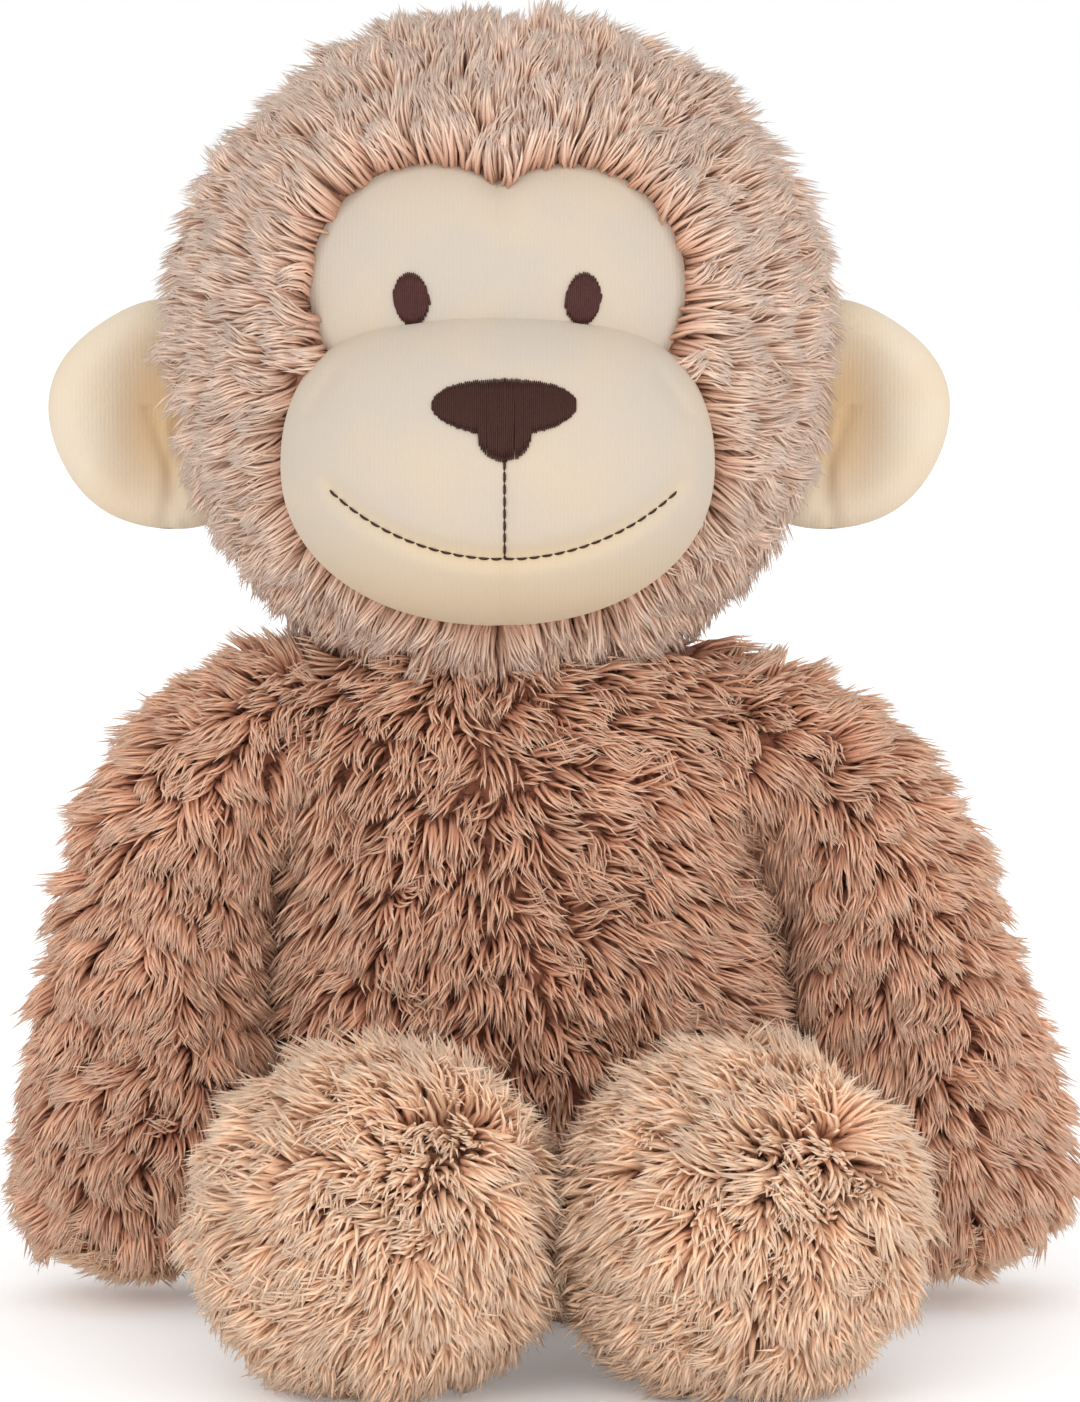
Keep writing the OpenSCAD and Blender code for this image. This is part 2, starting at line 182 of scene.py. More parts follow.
def fur(name, cloth, count, flow, look, seed, keep=None, length=11.5, rise=(30, 66), wild=0.35, lock=4.2, clump=0.68, wide=1.3, curl=1.4, mess=0.28, rings=3, low=0.3):
    """Pile on a cloth: closed tapering strands that lean along flow and gather at their tips into locks"""
    rng = np.random.default_rng(seed)
    cloth.data.calc_loop_triangles()
    co = points_of(cloth)
    normals = np.empty(len(co) * 3)
    cloth.data.vertices.foreach_get("normal", normals)
    normals = normals.reshape(-1, 3)
    tri = np.empty(len(cloth.data.loop_triangles) * 3, int)
    cloth.data.loop_triangles.foreach_get("vertices", tri)
    tri = tri.reshape(-1, 3)
    if keep is not None:
        tri = tri[keep(co[tri].mean(axis=1))]
    a, b, c = co[tri[:, 0]], co[tri[:, 1]], co[tri[:, 2]]
    area = np.linalg.norm(np.cross(b - a, c - a), axis=1) / 2

    def scatter(n):
        pick = rng.choice(len(tri), n, p=area / area.sum())
        u, v = np.sqrt(rng.random(n))[:, None], rng.random(n)[:, None]
        w = np.concatenate([1 - u, u * (1 - v), u * v], axis=1)[:, :, None]
        return (co[tri[pick]] * w).sum(axis=1), unit((normals[tri[pick]] * w).sum(axis=1))

    def lean(p, n, turn):
        f = flow(p)
        f = unit(f - (f * n).sum(axis=1, keepdims=True) * n)
        turn = (turn + wild * swirl(p, seed + 1, 0.035) + 0.6 * wild * swirl(p, seed + 2, 0.012))[:, None]
        return f * np.cos(turn) + np.cross(n, f) * np.sin(turn)

    def tilted(n, f, angle):
        return n * np.cos(angle) + f * np.sin(angle)

    # Lock centres kept apart from each other
    tries, try_n = scatter(int(area.sum() / (lock * MM) ** 2 * 3) + 8)
    keep_apart = []
    for i in range(len(tries)):
        if not keep_apart or ((tries[keep_apart] - tries[i]) ** 2).sum(axis=1).min() > (0.62 * lock * MM) ** 2:
            keep_apart.append(i)
    s, sn = tries[keep_apart], try_n[keep_apart]
    m = len(s)
    sf = lean(s, sn, rng.normal(0, mess, m))
    s_long = length * MM * rng.uniform(0.72, 1.28, m)[:, None]
    s_tone = rng.random(m)
    r0 = np.radians(rise[0] + rng.normal(0, 12, m))[:, None]
    r1 = np.radians(rise[1] + rng.normal(0, 14, m))[:, None]
    bend = rng.normal(0, curl * MM, m)[:, None] * np.cross(sn, sf)
    s_mid = tilted(sn, sf, r0) + bend / s_long * 2
    s_tip = s + s_long * 0.5 * (tilted(sn, sf, r0) + tilted(sn, sf, r1)) - 0.5 * bend

    p, n = scatter(count)
    near = np.concatenate([((chunk[:, None] - s[None]) ** 2).sum(axis=2).argmin(axis=1) for chunk in np.array_split(p, 24)])
    f = lean(p, n, rng.normal(0, 1.4 * mess, count))
    long = s_long[near] * rng.uniform(0.72, 1.12, (count, 1))
    first = tilted(n, f, np.radians(rise[0] + rng.normal(0, 8, (count, 1))))
    last = tilted(n, f, np.radians(rise[1] + rng.normal(0, 10, (count, 1))))
    offset = p - s[near]
    loose = clump * rng.uniform(0.6, 1.15, (count, 1))
    middle = p + long * 0.5 * first + bend[near] * 0.8
    middle += (s[near] + 0.5 * s_long[near] * s_mid[near] + 0.8 * offset - middle) * loose * 0.6
    tip = p + long * 0.5 * (first + last)
    tip += (s_tip[near] + 0.28 * offset - tip) * loose + rng.normal(0, 0.45 * MM, (count, 3))
    root = p - 0.6 * MM * n

    steps = np.linspace(0, 1, rings + 1)[:-1] ** 0.9
    girth = [1.0, 0.9, 0.55][:rings] if rings == 3 else [1.0, 0.62]
    side = unit(np.cross(tip - root, rng.normal(size=(count, 3))))
    across = unit(np.cross(tip - root, side))
    width = wide * MM / 2 * rng.uniform(0.7, 1.25, (count, 1))
    rows = []
    for t, g in zip(steps, girth):
        mid = (1 - t) ** 2 * root + 2 * t * (1 - t) * middle + t * t * tip
        for k in range(3):
            a3 = 2 * math.pi * k / 3
            rows.append(mid + width * g * (math.cos(a3) * side + 0.7 * math.sin(a3) * across))
    rows.append(tip)
    verts = np.stack(rows, axis=1)
    per = verts.shape[1]
    verts[:, :, 2] = np.maximum(verts[:, :, 2], low * MM)
    along = np.concatenate([np.repeat(steps, 3), [1.0]])
    pattern = [(0, 2, 1)]
    for r in range(rings - 1):
        for k in range(3):
            q0, q1 = 3 * r + k, 3 * r + (k + 1) % 3
            pattern += [(q0, q1, q1 + 3), (q0, q1 + 3, q0 + 3)]
    for k in range(3):
        pattern.append((3 * (rings - 1) + k, 3 * (rings - 1) + (k + 1) % 3, per - 1))
    faces = (np.array(pattern)[None] + (np.arange(count) * per)[:, None, None]).reshape(-1)

    mesh = bpy.data.meshes.new(name)
    mesh.vertices.add(count * per)
    mesh.vertices.foreach_set("co", verts.ravel())
    mesh.loops.add(len(faces))
    mesh.loops.foreach_set("vertex_index", faces)
    mesh.polygons.add(len(faces) // 3)
    mesh.polygons.foreach_set("loop_start", np.arange(0, len(faces), 3))
    mesh.polygons.foreach_set("use_smooth", np.ones(len(faces) // 3, bool))
    mesh.update(calc_edges=True)
    strand = mesh.attributes.new("strand", "FLOAT_COLOR", "POINT")
    tone = (0.55 * rng.random(count) + 0.45 * s_tone[near])[:, None].repeat(per, axis=1)
    rgba = np.stack([np.broadcast_to(along, (count, per)), tone, s_tone[near][:, None].repeat(per, axis=1), np.ones((count, per))], axis=2)
    strand.data.foreach_set("color", rgba.astype(np.float32).ravel())
    mesh.materials.append(look)
    obj = bpy.data.objects.new(name, mesh)
    bpy.context.collection.objects.link(obj)
    return obj


def faux_fur(name, root, low, body, tip):
    """Polyester faux fur: dyed fibres that darken towards the roots as painted shade and grow paler towards the tips,
    with a soft dry sheen
    """
    mat, bsdf = new_material(name)
    strand = node(mat, "ShaderNodeAttribute", attribute_name="strand")
    parts = node(mat, "ShaderNodeSeparateColor", {"Color": strand.outputs["Color"]})
    # Painted shade: the ramp darkens each strand towards its root, where little light gets into the pile
    ramp = node(mat, "ShaderNodeValToRGB", {"Fac": parts.outputs["Red"]})
    ramp.color_ramp.elements[0].color = linear(root)
    ramp.color_ramp.elements[1].color = linear(tip)
    for place, colour in ((0.3, low), (0.66, body)):
        ramp.color_ramp.elements.new(place).color = linear(colour)
    where = node(mat, "ShaderNodeTexCoord")
    patch = node(mat, "ShaderNodeTexNoise", {"Vector": where.outputs["Object"], "Scale": 55.0, "Detail": 2.0})
    fibre = node(mat, "ShaderNodeMapRange", {"Value": parts.outputs["Green"], "To Min": 0.88, "To Max": 1.12})
    drift = node(mat, "ShaderNodeMapRange", {"Value": patch.outputs["Fac"], "From Min": 0.3, "From Max": 0.7, "To Min": 0.93, "To Max": 1.07})
    value = node(mat, "ShaderNodeMath", {0: fibre.outputs["Result"], 1: drift.outputs["Result"]}, operation="MULTIPLY")
    toned = node(mat, "ShaderNodeHueSaturation", {"Color": ramp.outputs["Color"], "Value": value.outputs["Value"]})
    mat.node_tree.links.new(toned.outputs["Color"], bsdf.inputs["Base Color"])
    bsdf.inputs["Roughness"].default_value = 0.62
    bsdf.inputs["Specular IOR Level"].default_value = 0.25
    bsdf.inputs["Sheen Weight"].default_value = 0.12
    bsdf.inputs["Sheen Roughness"].default_value = 0.45
    bsdf.inputs["Sheen Tint"].default_value = linear("#ffd9bd")
    return mat


def backing_cloth(name, dark, pale):
    """Knitted backing between the tufts: matt, and darker than the pile because little light gets down to it"""
    mat, bsdf = new_material(name)
    where = node(mat, "ShaderNodeTexCoord")
    knit = node(mat, "ShaderNodeTexVoronoi", {"Vector": where.outputs["Object"], "Scale": 900.0})
    mix = node(mat, "ShaderNodeMix", {"Factor": knit.outputs["Distance"], "A": linear(dark), "B": linear(pale)}, data_type="RGBA")
    bump = node(mat, "ShaderNodeBump", {"Height": knit.outputs["Distance"], "Strength": 0.6, "Distance": 0.0006})
    mat.node_tree.links.new(mix.outputs["Result"], bsdf.inputs["Base Color"])
    mat.node_tree.links.new(bump.outputs["Normal"], bsdf.inputs["Normal"])
    bsdf.inputs["Roughness"].default_value = 0.9
    return mat


head_fur = faux_fur("pinkish_tan_faux_fur", "#be8a70", "#d6aa91", "#e6c7b2", "#f4e0d2")
head_cloth = backing_cloth("tan_backing_knit", "#a06f58", "#bb8a72")

head_backing = round_form("head_backing", 128, 96, lambda p: egg(p, HEAD, HEAD_HALF - BACKING_DEPTH, HEAD_UP - BACKING_DEPTH, HEAD_DOWN - BACKING_DEPTH))
head_backing.data.materials.append(head_cloth)
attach(head_backing, "head")
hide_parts("head_stuffing")


def off_the_face(p):
    """Clear of the muzzle and of the eye patch"""
    in_muzzle = (((p - MUZZLE) / (MUZZLE_HALF + 0.5 * MM)) ** 2).sum(axis=1) < 1
    x, z = p[:, 0] - head_x, p[:, 2] - LOBE_Z
    in_lobe = ((np.abs(x) - LOBE_X) ** 2 + z**2 < (LOBE_R + 0.3 * MM) ** 2) | ((np.abs(x) < LOBE_X) & (z < 0) & (z > -LOBE_R))
    return ~(in_muzzle | (in_lobe & (p[:, 1] < head_y)))


def head_flow(p):
    out = p - np.array([head_x, 0, 0.204])
    out[:, 1] = 0
    front = np.clip((0.025 - p[:, 1]) / 0.05, 0, 1)[:, None]
    return unit(out) * front + np.array([0, 0.15, -1.0]) * (1 - front) + np.array([0, 0, -0.12])


for side, word in ((1, "left"), (-1, "right")):
    for front, where in ((True, "front"), (False, "back")):
        piece = fur(f"head_fur_{where}_{word}", head_backing, 10400 if front else 6400, head_flow, head_fur, 11 + side + 5 * front,
            keep=lambda p: ((p[:, 0] - head_x) * side > 0) & ((p[:, 1] < head_y) == front) & off_the_face(p),
            length=12.2, rise=(24, 60), lock=5.0, clump=0.74, wide=1.4, curl=1.7, rings=3 if front else 2)
        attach(piece, "head")
        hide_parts(f"head_{where}_{word}")

# ---- Eye patch ----
# One piece of short-pile polyester velour with two round lobes, sewn into the fur around its edge and lightly
# puffed by the stuffing behind it.


def velour(name, base, mottle_and_shade, rib):
    """Clipped knitted pile: matt, with fine upright ribs from the knit and a pale bloom where it turns away. Soft
    random clouds shift it towards a second, warmer tone, and the same tone is painted in as light and shade wherever a
    piece marks it
    """
    mat, bsdf = new_material(name)
    where = node(mat, "ShaderNodeTexCoord")
    # Ribs are 0.9 mm apart, about twice the real spacing, so that they show
    ribs = node(mat, "ShaderNodeTexWave", {"Vector": where.outputs["Object"], "Scale": rib, "Distortion": 3.0, "Detail": 2.0, "Detail Scale": 2.5}, bands_direction="X")
    nap = node(mat, "ShaderNodeTexNoise", {"Vector": where.outputs["Object"], "Scale": 1400.0, "Detail": 3.0})
    cloud = node(mat, "ShaderNodeTexNoise", {"Vector": where.outputs["Object"], "Scale": 45.0, "Detail": 2.0})
    height = node(mat, "ShaderNodeMix", {"Factor": 0.6, "A": ribs.outputs["Fac"], "B": nap.outputs["Fac"]})
    bump = node(mat, "ShaderNodeBump", {"Height": height.outputs["Result"], "Strength": 0.16, "Distance": 0.0004})
    soft = node(mat, "ShaderNodeMapRange", {"Value": cloud.outputs["Fac"], "From Min": 0.4, "From Max": 0.8, "To Max": 0.5})
    # Painted light and shade: a per-point attribute tints creases, dents and the lower muzzle towards the warmer tone
    hollow = node(mat, "ShaderNodeAttribute", attribute_name="hollow")
    deep = node(mat, "ShaderNodeMath", {0: soft.outputs["Result"], 1: hollow.outputs["Fac"]}, operation="MAXIMUM")
    tone = node(mat, "ShaderNodeMix", {"Factor": deep.outputs["Value"], "A": linear(base), "B": linear(mottle_and_shade)}, data_type="RGBA")
    grain = node(mat, "ShaderNodeMapRange", {"Value": height.outputs["Result"], "To Min": 0.975, "To Max": 1.02})
    toned = node(mat, "ShaderNodeHueSaturation", {"Color": tone.outputs["Result"], "Value": grain.outputs["Result"]})
    mat.node_tree.links.new(toned.outputs["Color"], bsdf.inputs["Base Color"])
    mat.node_tree.links.new(bump.outputs["Normal"], bsdf.inputs["Normal"])
    bsdf.inputs["Roughness"].default_value = 0.85
    bsdf.inputs["Specular IOR Level"].default_value = 0.15
    bsdf.inputs["Sheen Weight"].default_value = 0.15
    bsdf.inputs["Sheen Roughness"].default_value = 0.5
    bsdf.inputs["Sheen Tint"].default_value = linear("#fff4e0")
    return mat


def mark_hollows(obj, depth):
    """Painted light and shade: how strongly each point's pile is tinted towards the warmer tone, from 0 to 1, for
    shade in creases and dents and for the warmer light on the lower muzzle
    """
    hollow = obj.data.attributes.new("hollow", "FLOAT", "POINT")
    hollow.data.foreach_set("value", np.clip(depth, 0, 1).astype(np.float32))


def head_front_y(x, z, inset):
    half, tall = HEAD_HALF - inset, np.where(z > HEAD[2], HEAD_UP, HEAD_DOWN) - inset
    rest = 1 - ((x - head_x) / half[0]) ** 2 - ((z - HEAD[2]) / tall) ** 2
    return head_y - half[1] * np.sqrt(np.maximum(rest, 0))


def patch_shape(p):
    """Disc points to the two-lobed outline, laid on the front of the head and puffed"""
    turn = np.arctan2(p[:, 1], p[:, 0])
    r = np.linalg.norm(p[:, :2], axis=1)
    edge = LOBE_R + 1.5 * MM
    reach = LOBE_X * np.abs(np.cos(turn)) + np.sqrt(edge**2 - (LOBE_X * np.sin(turn)) ** 2)
    x, z = head_x + r * reach * np.cos(turn), LOBE_Z + r * reach * np.sin(turn)
    puff = 2.6 * MM * (1 - r**4) - 0.9 * MM * np.exp(-(((x - head_x) / 3.5e-3) ** 2)) * np.clip(r, 0, 1)
    return np.column_stack([x, head_front_y(x, z, 5 * MM) - puff - 0.6 * MM, z])


# Its second colour is the random mottle tone and the painted light and shade tone of the muzzle
face_velour = velour("cream_velour", "#c2b6a8", "#d2bd9e", 350)
bpy.ops.mesh.primitive_circle_add(vertices=96, radius=1, fill_type="TRIFAN")
eye_patch = bpy.context.object
eye_patch.name = "eye_patch_velour"
bpy.ops.object.mode_set(mode="EDIT")
bpy.ops.mesh.select_all(action="SELECT")
bpy.ops.mesh.subdivide(number_cuts=15)
bpy.ops.object.mode_set(mode="OBJECT")
set_points(eye_patch, patch_shape(points_of(eye_patch)))
wall = eye_patch.modifiers.new("wall", "SOLIDIFY")
wall.thickness, wall.offset = 1.6 * MM, 0
bpy.ops.object.modifier_apply(modifier="wall")
bpy.ops.object.mode_set(mode="EDIT")
bpy.ops.mesh.select_all(action="SELECT")
bpy.ops.mesh.normals_make_consistent(inside=False)
bpy.ops.object.mode_set(mode="OBJECT")
bpy.ops.object.shade_smooth()
eye_patch.data.materials.append(face_velour)
mark_hollows(eye_patch, np.zeros(len(eye_patch.data.vertices)))
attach(eye_patch, "head")
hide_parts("eye_patch")

# ---- Muzzle ----
# Two velour panels sewn on a centre seam into a round cushion, stuffed tight, and sewn to the head. The mouth's
# stitches pull shallow grooves into it, and a small dart in each upper corner shapes the cheeks.

MOUTH_X = head_x + 1.6 * MM
SMILE_R, SMILE_Z, SMILE_HALF = 55 * MM, 170.5 * MM, 36.5 * MM
NOSE_Z, NOSE_HALF = 202 * MM, np.array([15, 5.6]) * MM


def smile_gap(x, z):
    """Distance on X and Z from the smile's arc"""
    gap = np.abs(np.hypot(x - MOUTH_X, z - (SMILE_Z + SMILE_R)) - SMILE_R)
    return np.where(z > SMILE_Z + SMILE_R * 0.4, 1.0, gap + np.maximum(np.abs(x - MOUTH_X) - SMILE_HALF, 0))


def muzzle_shape(p):
    fuller = np.sign(p) * np.abs(p) ** 0.94
    q = MUZZLE + fuller * (MUZZLE_HALF + np.array([1.2, 0, 1.0]) * MM)
    q[:, 0] += (q[:, 0] - MUZZLE[0]) * 0.16 * np.clip(p[:, 2], 0, 1) ** 2
    x, z, front = q[:, 0], q[:, 2], p[:, 1] < 0.1
    groove = 1.5 * MM * np.exp(-((smile_gap(x, z) / (2.4 * MM)) ** 2))
    below = z < NOSE_Z - NOSE_HALF[1]
    groove += np.where(below, 1.1 * MM, 0.3 * MM) * np.exp(-(((x - MOUTH_X) / (1.7 * MM)) ** 2))
    for s in (-1, 1):
        a, b = np.array([head_x + s * 34 * MM, 209 * MM]), np.array([head_x + s * 40 * MM, 200 * MM])
        t = np.clip(((x - a[0]) * (b - a)[0] + (z - a[1]) * (b - a)[1]) / ((b - a) ** 2).sum(), 0, 1)
        away = np.hypot(x - a[0] - t * (b - a)[0], z - a[1] - t * (b - a)[1])
        groove += 1.2 * MM * np.exp(-((away / (1.5 * MM)) ** 2))
    nose_dent = 1.0 * MM * np.exp(-(((x - MOUTH_X) / (19 * MM)) ** 2 + ((z - NOSE_Z) / (9 * MM)) ** 2) * 1.5)
    q[:, 1] += np.where(front, groove + nose_dent, 0)
    return q


muzzle = round_form("muzzle_velour", 176, 128, muzzle_shape)
muzzle.data.materials.append(face_velour)
q = points_of(muzzle)
# Painted light and shade: the lower part of the muzzle is tinted warmer for the light there, and the smile's groove is
# tinted as shade
mark_hollows(muzzle, np.clip((180 * MM - q[:, 2]) / (22 * MM), 0, 0.8) + 0.6 * np.exp(-((smile_gap(q[:, 0], q[:, 2]) / (2.5 * MM)) ** 2)) * (q[:, 1] < MUZZLE[1]))
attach(muzzle, "head")
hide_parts("muzzle_left", "muzzle_right", "muzzle_stuffing")

# ---- Eyes, nose and mouth ----
# Embroidered in glossy rayon thread: the eyes and nose are filled with rows of upright satin stitch over a
# raised pad, and the smile and lip line are rows of short stitches that sink a little into the velour.


def rayon_thread(name, dark, pale):
    """Twisted rayon embroidery thread: dark, with a soft gloss along each stitch"""
    mat, bsdf = new_material(name)
    where = node(mat, "ShaderNodeTexCoord")
    ply = node(mat, "ShaderNodeTexNoise", {"Vector": where.outputs["Object"], "Scale": 2200.0, "Detail": 1.0})
    mix = node(mat, "ShaderNodeMix", {"Factor": ply.outputs["Fac"], "A": linear(dark), "B": linear(pale)}, data_type="RGBA")
    mat.node_tree.links.new(mix.outputs["Result"], bsdf.inputs["Base Color"])
    bsdf.inputs["Roughness"].default_value = 0.55
    bsdf.inputs["Specular IOR Level"].default_value = 0.25
    return mat


nose_thread = rayon_thread("dark_brown_rayon", "#2a110b", "#47241a")
eye_thread = rayon_thread("brown_rayon", "#381a17", "#56302b")
mouth_thread = rayon_thread("fine_brown_rayon", "#2a1714", "#45291f")


def tree_of(obj):
    mesh = obj.data
    return BVHTree.FromPolygons([v.co[:] for v in mesh.vertices], [tuple(f.vertices) for f in mesh.polygons])


def stitches(name, tree, lines, radius, lift, look, sides=6):
    """Each line is a run of thread over the velour: X, Z and extra height at its points, with closed tapered ends"""
    verts, faces = [], []
    for line in lines:
        path = []
        for x, z, up in line:
            hit, normal = tree.ray_cast(Vector((x, -0.2, z)), Vector((0, 1, 0)))[:2]
            if normal.y > 0:
                normal = -normal
            path.append(hit + normal * (lift + up))
        base = len(verts)
        for i, p in enumerate(path):
            d = (path[min(i + 1, len(path) - 1)] - path[max(i - 1, 0)]).normalized()
            u = d.cross(Vector((0, 1, 0))).normalized()
            v = d.cross(u)
            r = radius * (0.45 if i in (0, len(path) - 1) else 1)
            verts += [p + r * (math.cos(k * math.tau / sides) * u + math.sin(k * math.tau / sides) * v) for k in range(sides)]
        for i in range(len(path) - 1):
            for k in range(sides):
                a, b = base + i * sides + k, base + i * sides + (k + 1) % sides
                faces.append((a, b, b + sides, a + sides))
        faces.append([base + k for k in range(sides)][::-1])
        faces.append([base + (len(path) - 1) * sides + k for k in range(sides)])
    mesh = bpy.data.meshes.new(name)
    mesh.from_pydata(verts, [], faces)
    obj = bpy.data.objects.new(name, mesh)
    bpy.context.collection.objects.link(obj)
    bpy.context.view_layer.objects.active = obj
    obj.select_set(True)
    bpy.ops.object.mode_set(mode="EDIT")
    bpy.ops.mesh.select_all(action="SELECT")
    bpy.ops.mesh.normals_make_consistent(inside=False)
    bpy.ops.object.mode_set(mode="OBJECT")
    bpy.ops.object.shade_smooth()
    obj.select_set(False)
    mesh.materials.append(look)
    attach(obj, "head")
    return obj


muzzle_tree, patch_tree = tree_of(muzzle), tree_of(eye_patch)
rng = np.random.default_rng(3)


def satin(outline, pitch, slant, dome):
    """Rows of satin stitch that fill an outline: outline(x) gives its low and high Z"""
    rows = []
    x = -outline.reach + pitch * 0.5
    while x < outline.reach:
        lo, hi = outline(x)
        lo, hi = lo - rng.uniform(0, 0.35) * MM, hi + rng.uniform(0, 0.35) * MM
        t = np.linspace(0, 1, 7)
        inner = np.sqrt(np.maximum(1 - (x / outline.reach) ** 2, 0))
        rows.append([(head_x + outline.at[0] + x + slant * (k - 0.5), outline.at[1] + lo + (hi - lo) * k, dome * inner * math.sin(math.pi * min(max(k, 0.03), 0.97)) ** 0.5) for k in t])
        x += pitch
    return rows


def nose_outline(x):
    s = max(1 - (x / NOSE_HALF[0]) ** 2, 0)
    lo, hi = -NOSE_HALF[1] * s**0.62, NOSE_HALF[1] * s**0.38
    if abs(x) < 5.5 * MM:
        lo = min(lo, -NOSE_HALF[1] - 5.2 * MM * max(1 - (x / (5.5 * MM)) ** 2, 0) ** 0.5)
    return lo, hi


nose_outline.reach, nose_outline.at = NOSE_HALF[0], (MOUTH_X - head_x, NOSE_Z)
nose = stitches("nose_satin_stitch", muzzle_tree, satin(nose_outline, 0.42 * MM, 0, 0.9 * MM), 0.31 * MM, 0.1 * MM, nose_thread)
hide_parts("nose")

for side, word in ((1, "left"), (-1, "right")):

    def eye_outline(x):
        tall = 5.4 * MM * max(1 - (x / (3.7 * MM)) ** 2, 0) ** 0.5
        return -tall, tall

    eye_outline.reach, eye_outline.at = 3.7 * MM, (side * 18 * MM, 223.7 * MM)
    eye = stitches(f"eye_{word}_satin_stitch", patch_tree, satin(eye_outline, 0.42 * MM, side * 0.5 * MM, 0.8 * MM), 0.31 * MM, 0.1 * MM, eye_thread)
    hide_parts(f"eye_{word}")

span = math.asin(SMILE_HALF / SMILE_R)
runs, a = [], -span
while a < span - 0.02:
    b = min(a + 2.3 * MM / SMILE_R, span)
    runs.append([(MOUTH_X + SMILE_R * math.sin(t), SMILE_Z + SMILE_R * (1 - math.cos(t)), u * MM) for t, u in zip(np.linspace(a, b, 5), (-0.15, 0.1, 0.16, 0.1, -0.15))])
    a = b + 0.35 * MM / SMILE_R
smile = stitches("smile_stitch_thread", muzzle_tree, runs, 0.27 * MM, 0.12 * MM, mouth_thread)
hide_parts("smile_stitch")

runs, z = [], NOSE_Z - NOSE_HALF[1] - 4.8 * MM
while z > SMILE_Z + 0.5 * MM:
    runs.append([(MOUTH_X, h, u * MM) for h, u in zip(np.linspace(z, max(z - 2.4 * MM, SMILE_Z), 5), (-0.1, 0.1, 0.16, 0.1, -0.1))])
    z -= 2.55 * MM
lip = stitches("lip_stitch_thread", muzzle_tree, runs, 0.29 * MM, 0.12 * MM, mouth_thread)
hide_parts("lip_stitch")

# ---- Ears ----
# Each ear is two round velour panels sewn right sides together, turned and padded, so its rim rolls over
# thickly round a dished middle. It is caught into the head's side seam, which puckers its root.

EAR_R, EAR_OUT, EAR_Z = 25.5 * MM, 73.5 * MM, 196 * MM
# Its second colour is the random mottle tone and the painted shade tone of the ears' dishes
ear_velour = velour("warm_cream_velour", "#d8c9b4", "#d6b68c", 350)


def ear_shape(p, side):
    """Ball points to a padded disc: the poles face front and back"""
    r = np.hypot(p[:, 0], p[:, 2])
    turn = np.arctan2(p[:, 2], p[:, 0] * side)
    wave = 1 + 0.018 * np.sin(3 * turn + 1.3) + 0.012 * np.sin(5 * turn)
    flat = r**0.8
    x, z = side * np.cos(turn) * flat * EAR_R * wave, np.sin(turn) * flat * EAR_R * wave
    depth = 6.4 * MM * np.sqrt(np.maximum(1 - flat**4, 0))
    rim = np.exp(-(((flat - 0.80) / 0.17) ** 2))
    root = 1 / (1 + np.exp((x * side + 6 * MM) / (2.6 * MM)))
    front = p[:, 1] < 0
    inner = np.hypot((x * side - 2 * MM) / (9.5 * MM), (z + 1 * MM) / (17 * MM))
    dish = np.where(front, 5.2 * MM * np.exp(-(inner**2.6)), 1.2 * MM * (1 - flat))
    crease = np.exp(-(((x * side + 3 * MM + 0.12 * z) / (1.8 * MM)) ** 2)) + 0.6 * np.exp(-(((x * side - 3 * MM - 0.3 * z) / (1.5 * MM)) ** 2)) * (z < 2 * MM)
    folds = np.where(front, 1.3 * MM * crease + 0.8 * MM * root * np.sin(6 * turn + 0.6) * np.clip(flat * 2, 0, 1), 0)
    y = np.sign(p[:, 1] + 1e-9) * np.maximum(depth + 0.7 * MM * rim - dish, 0.5 * MM * (flat < 0.98)) + folds
    y = y + 2.2 * MM * (1 - (x * side / EAR_R)) * 0.5
    return np.column_stack([x + head_x + side * EAR_OUT, y - 1.5 * MM, z + EAR_Z])


for side, word in ((1, "left"), (-1, "right")):
    ear = round_form(f"ear_{word}_velour", 112, 80, lambda p: ear_shape(p[:, [0, 2, 1]] * np.array([1, -1, 1]), side))
    bpy.ops.object.mode_set(mode="EDIT")
    bpy.ops.mesh.select_all(action="SELECT")
    bpy.ops.mesh.normals_make_consistent(inside=False)
    bpy.ops.object.mode_set(mode="OBJECT")
    ear.data.materials.append(ear_velour)
    q = points_of(ear) - np.array([head_x + side * EAR_OUT, 0, EAR_Z])
    # Painted shade: the dished middle of the ear's front is tinted the warmer, darker tone
    valley = np.exp(-(np.hypot((q[:, 0] * side - 1 * MM) / (9 * MM), q[:, 2] / (17 * MM)) ** 2.5)) * (q[:, 1] < 2 * MM)
    mark_hollows(ear, 0.95 * valley)
    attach(ear, f"ear_{word}")
    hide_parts(f"ear_front_{word}", f"ear_back_{word}", f"ear_padding_{word}")

# ---- Torso ----
# A soft egg of darker tan faux fur: one front panel, two back panels and a flat seat panel round a weighted
# pouch of beans. It slumps to one side under the head, and the pile lies down and outwards.

LEAN = math.radians(-5.2)
BELLY_Z = 52 * MM
body_fur = faux_fur("tan_faux_fur", "#ad6f55", "#cd9174", "#e2b193", "#f2d0b7")
body_cloth = backing_cloth("brown_backing_knit", "#8f5840", "#ab7056")


def torso_shape(p):
    half = np.array([58, 46, 0]) * MM - BACKING_DEPTH
    q = egg(p, np.array([0, 0, BELLY_Z]), half, 115 * MM - BACKING_DEPTH, 90 * MM - BACKING_DEPTH)
    yoke = np.clip((q[:, 2] - 95 * MM) / (42 * MM), 0, 1)
    q[:, 0] *= 1 + 0.36 * yoke * yoke * (3 - 2 * yoke)
    x, z = q[:, 0] * math.cos(LEAN) + q[:, 2] * math.sin(LEAN), -q[:, 0] * math.sin(LEAN) + q[:, 2] * math.cos(LEAN)
    return np.column_stack([x, q[:, 1], np.clip(z, 0.8 * MM, 144 * MM)])


